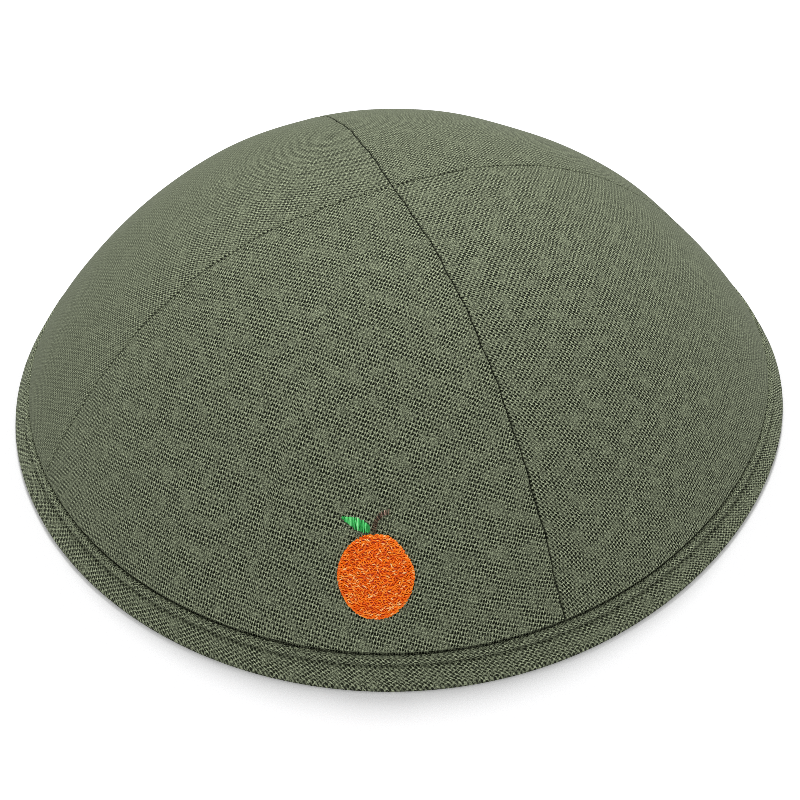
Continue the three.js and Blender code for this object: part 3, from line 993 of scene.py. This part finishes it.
def satin_stitches(middles, headings, half_widths, slant, chance):
    """Stitches side by side across a path, each from one of its edges to the other."""
    stitches, tones = [], []
    for middle, heading, half_width in zip(middles, headings, half_widths):
        turn = heading + slant + chance.normal(0, SATIN_TURN)
        length = half_width + chance.uniform(-0.15, 0.15) * MM
        reach = length * np.array([math.cos(turn), math.sin(turn)])
        low, high = middle - reach, middle + reach
        stitches.append(laid_stitch(low, high, chance, STITCH_LIFT * SATIN_LIFT, SATIN_SWAY))
        tones.append(drawn_tone(chance, SATIN_SPREAD))
    return stitches, tones


def leaf_shape(share):
    """Middle of the leaf and its half width at a share of its length, from the stem out."""
    base = np.array([
        STEM_OFFSET - STEM_WIDTH / 2 - PIECE_GAP,
        FRUIT_HEIGHT / 2 + PIECE_GAP + LEAF_WIDTH / 4,
    ])
    way = np.array([math.cos(LEAF_HEADING), math.sin(LEAF_HEADING)])
    half_width = np.sin(np.pi * share**LEAF_SWELL) ** LEAF_ROUNDNESS * LEAF_WIDTH / 2
    return base + LEAF_LENGTH * np.multiply.outer(share, way), half_width


def stem_shape(share):
    """Middle of the stem and its heading at a share of its curve, from the fruit up."""
    foot = np.array([STEM_OFFSET, FRUIT_HEIGHT / 2 - 0.2 * MM])
    tip = np.array([STEM_OFFSET + STEM_REACH, FRUIT_HEIGHT / 2 + PIECE_GAP + STEM_RISE])
    bend = np.array([foot[0], foot[1] + (tip[1] - foot[1]) * STEM_BEND])
    share = share[:, None]
    middle = (1 - share) ** 2 * foot + 2 * share * (1 - share) * bend + share**2 * tip
    way = 2 * (1 - share) * (bend - foot) + 2 * share * (tip - bend)
    return middle, np.arctan2(way[:, 1], way[:, 0])


def make_embroidery_tree():
    """Gives each guide line of a stitch the round body of a thread."""
    tree, given, result = open_group(
        "embroidery threads", "GeometryNodeTree",
        {"Geometry": "Geometry", "Thread": "Material", "Thread Width": EMBROIDERY_THREAD},
        {"Geometry": "Geometry"},
    )
    guides = add(tree, "GeometryNodeMeshToCurve", given["Geometry"])
    ring = thread_ring(tree, 6, given["Thread Width"])
    body = add(tree, "GeometryNodeCurveToMesh",
               inputs={"Curve": guides, "Profile Curve": ring, "Fill Caps": True})
    finish_tree(tree, body, given["Thread"], result)
    return tree


embroidery_tree = make_embroidery_tree()


def embroidered(name, node, stitches, tones, thread):
    """Embroidered piece of many stitches that stands for a node of the frame."""
    lengths = [len(stitch) for stitch in stitches]
    starts = np.concatenate([[0], np.cumsum(lengths)])
    edges = [(first + start, second + start)
             for start, length in zip(starts, lengths) for first, second in chain(length)]
    piece = thread_of_points(name, np.concatenate(stitches), edges, tone=np.repeat(tones, lengths))
    grow(piece, embroidery_tree, {"Thread": thread})
    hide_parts(node)
    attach(piece, "root")


def underlay(name, shares, outline, thread):
    """Thin closed pad of thread under the stitches.

    Outline gives the middle, heading and half width of each row of points."""
    sides = np.linspace(-1, 1, 13)
    grids = []
    for height in (UNDERLAY_HEIGHT, UNDERLAY_FOOT):
        rows = []
        for middle, heading, half_width in zip(*outline(shares)):
            across = middle[0] + np.cos(heading) * half_width * sides
            climb = middle[1] + np.sin(heading) * half_width * sides
            lift = height * np.sqrt(1.02 - sides**2) + UNDERLAY_CLEARANCE
            rows.append(motif_point(across, climb, lift))
        grids.append(np.stack(rows))
    blank = np.zeros(grids[0].shape[:2])
    mesh = sheet_mesh(name, grids[0], grids[1], np.stack([blank, blank], -1))
    # The pad carries no tone, so it takes the thread's darkest tones: painted shade in the gaps between the
    # stitches.
    mesh.materials.append(thread)
    piece = linked(name, mesh)
    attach(piece, "root")


def fruit_outline(share):
    """Rows of the fruit's pad, from its foot up."""
    climb = -np.cos(np.pi * share) * FRUIT_HEIGHT / 2 * FRUIT_PAD
    left, right = fruit_sides(climb)
    return np.stack([(left + right) / 2, climb], axis=1), 0 * climb, (right - left) / 2 * FRUIT_PAD


def leaf_outline(share):
    """Rows of the leaf's pad, from the stem out."""
    middle, half_width = leaf_shape(share)
    return middle, np.full(len(share), LEAF_HEADING - math.pi / 2), half_width * LEAF_PAD


stitch_chance = np.random.default_rng(23)
orange_thread = thread_material("orange thread", ORANGE_TONES, 0.25)
green_thread = thread_material("green thread", GREEN_TONES, 0.25)
brown_thread = thread_material("brown thread", BROWN_TONES, 0.2)
stitches, tones = fruit_stitches(stitch_chance)
embroidered("orange_stitches", "embroidered_orange", stitches, tones, orange_thread)
underlay("orange_underlay", np.linspace(0, 1, 25), fruit_outline, orange_thread)
leaf_shares = np.linspace(0.03, 0.97, round(LEAF_LENGTH / SATIN_SPACING))
leaf_middles, leaf_halves = leaf_shape(leaf_shares)
leaf_headings = np.full(len(leaf_shares), LEAF_HEADING)
stitches, tones = satin_stitches(leaf_middles, leaf_headings, leaf_halves, LEAF_SLANT, stitch_chance)
embroidered("leaf_stitches", "embroidered_leaf", stitches, tones, green_thread)
underlay("leaf_underlay", np.linspace(0.06, 0.94, 13), leaf_outline, green_thread)
stem_shares = np.linspace(0, 1, round(1.2 * math.hypot(STEM_REACH, STEM_RISE) / STEM_SPACING))
stem_middles, stem_headings = stem_shape(stem_shares)
stem_halves = np.full(len(stem_shares), STEM_WIDTH / 2 - EMBROIDERY_THREAD / 4)
stitches, tones = satin_stitches(stem_middles, stem_headings, stem_halves, STEM_SLANT, stitch_chance)
embroidered("stem_stitches", "embroidered_stem", stitches, tones, brown_thread)

# Floor: a plain white surface that the cap stands on.
# It is large enough to fill the view from above.
FLOOR_HALF = 3.0
floor_corners = [(x * FLOOR_HALF, y * FLOOR_HALF, 0) for x, y in ((-1, -1), (1, -1), (1, 1), (-1, 1))]
floor_mesh = bpy.data.meshes.new("floor")
floor_mesh.from_pydata(floor_corners, [], [(0, 1, 2, 3)])
floor = linked("floor", floor_mesh)
white = bpy.data.materials.new("white floor")
white.use_nodes = True
white_shader = white.node_tree.nodes["Principled BSDF"]
white_shader.inputs["Base Color"].default_value = (0.80, 0.80, 0.807, 1)
white_shader.inputs["Roughness"].default_value = 0.9
floor_mesh.materials.append(white)

# Light: a bright white room, with a soft lamp high behind the cap.
# The lamp's shadow falls a short way out from the front of the rim. Denoising is off, because it takes
# the fine weave for noise and wipes it out.
scene = bpy.context.scene
world = bpy.data.worlds.new("white room")
world.use_nodes = True
sky = world.node_tree.nodes["Background"]
sky.inputs["Color"].default_value = (1, 1, 1, 1)
sky.inputs["Strength"].default_value = 0.92
scene.world = world
LAMP_PLACE = Vector((0.0, 0.8, 1.15))
lamp_data = bpy.data.lights.new("softbox", "AREA")
lamp_data.shape = "DISK"
lamp_data.size = 0.4
lamp_data.energy = 12.5
lamp = linked("softbox", lamp_data)
lamp.location = LAMP_PLACE
lamp.rotation_euler = (-LAMP_PLACE).to_track_quat("-Z", "Y").to_euler()
scene.view_settings.view_transform = "Standard"
scene.cycles.filter_width = 0.7
scene.cycles.use_denoising = False

# Camera: in front of the cap and above it, where the photograph was taken from.
# It looks at the rim's middle from 0.6 m away and is turned by about a degree.
CAMERA_DISTANCE = 0.6
CAMERA_ELEVATION = math.radians(40.96)
CAMERA_ROLL = math.radians(-1.0114)
CAMERA_AIM = Vector((AXIS.x + 0.96 * MM, AXIS.y, -0.07 * MM))
camera_data = bpy.data.cameras.new("camera")
camera_data.sensor_width = 36
camera_data.lens = 102.68
camera = linked("camera", camera_data)
forward = Vector((0, math.cos(CAMERA_ELEVATION), -math.sin(CAMERA_ELEVATION)))
level_up = Vector((0, math.sin(CAMERA_ELEVATION), math.cos(CAMERA_ELEVATION)))
level_right = Vector((1, 0, 0))
right = math.cos(CAMERA_ROLL) * level_right + math.sin(CAMERA_ROLL) * level_up
up = math.cos(CAMERA_ROLL) * level_up - math.sin(CAMERA_ROLL) * level_right
turn = Matrix((right, up, -forward)).transposed().to_4x4()
camera.matrix_world = Matrix.Translation(CAMERA_AIM - CAMERA_DISTANCE * forward) @ turn
scene.camera = camera
